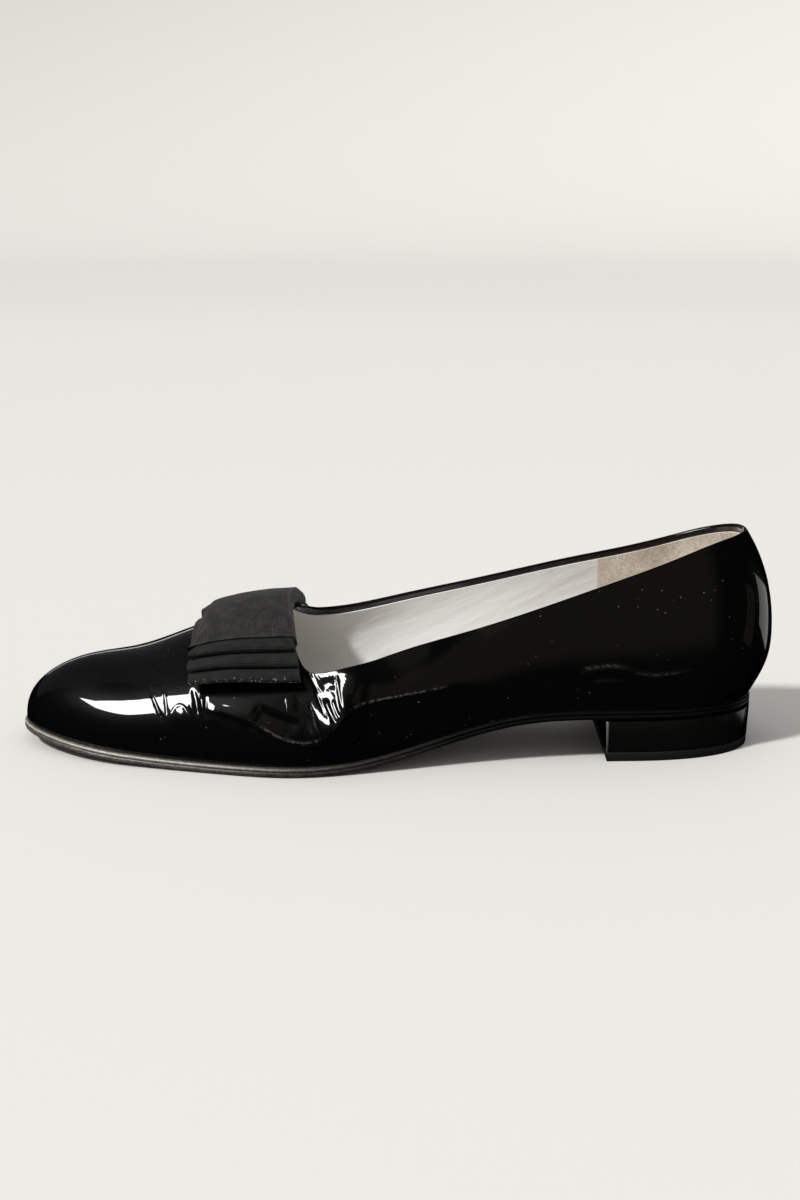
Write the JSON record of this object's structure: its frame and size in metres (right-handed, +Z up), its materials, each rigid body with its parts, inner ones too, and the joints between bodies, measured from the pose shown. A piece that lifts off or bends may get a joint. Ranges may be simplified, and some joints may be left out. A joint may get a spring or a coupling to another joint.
{
  "type": "ballet flat",
  "caption": "Left black patent leather ballet flat with a low block heel, pale lining and a flat grosgrain bow over the vamp.",
  "frame": {"origin": "middle of the shoe's plan on the floor plane it stands on", "axes": "+X from toe to heel, +Y towards the inner (medial) side of the foot, +Z up"},
  "size_m": [0.261, 0.0808, 0.076],
  "materials": {
    "patent_leather": "high gloss lacquered",
    "sole_leather": "satin, inked edge",
    "heel_lacquer": "gloss lacquered",
    "lift_rubber": "matte",
    "sock_leather": "smooth matte",
    "grosgrain": "ribbed matte"
  },
  "bodies": {
    "root": {"upper": "patent_leather", "outsole": "sole_leather", "heel_block": "heel_lacquer", "top_lift": "lift_rubber", "insole": "sock_leather", "bow_band": "grosgrain", "bow_loop_top": "grosgrain", "bow_loop_middle": "grosgrain", "bow_loop_bottom": "grosgrain"}
  },
  "joints": []
}
